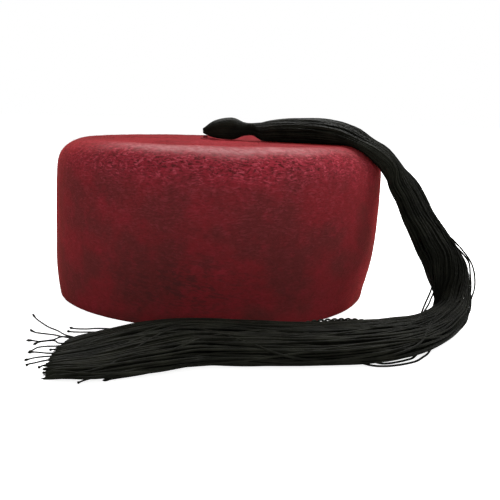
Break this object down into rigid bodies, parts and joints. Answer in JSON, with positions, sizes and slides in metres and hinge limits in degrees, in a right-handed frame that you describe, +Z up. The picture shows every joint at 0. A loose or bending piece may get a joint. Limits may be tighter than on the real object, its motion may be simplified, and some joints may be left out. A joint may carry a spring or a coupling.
{
  "type": "fez hat with tassel",
  "caption": "Low round felt fez, open below, with a long cord tassel looped on its top, draped over the shoulder and laid out in front.",
  "frame": {"origin": "middle of the footprint of hat and tassel, on the surface that the rim rests on", "axes": "+Z up through the crown, -Y towards the front, where the tassel lies, +X towards the side that the tassel falls over"},
  "size_m": [0.2352, 0.2752, 0.1065],
  "materials": {
    "felt": "brushed matte wool felt",
    "tassel_thread": "soft satin thread"
  },
  "bodies": {
    "root": {"crown": "felt", "hanging_loop": "tassel_thread", "tassel": "tassel_thread"}
  },
  "joints": []
}
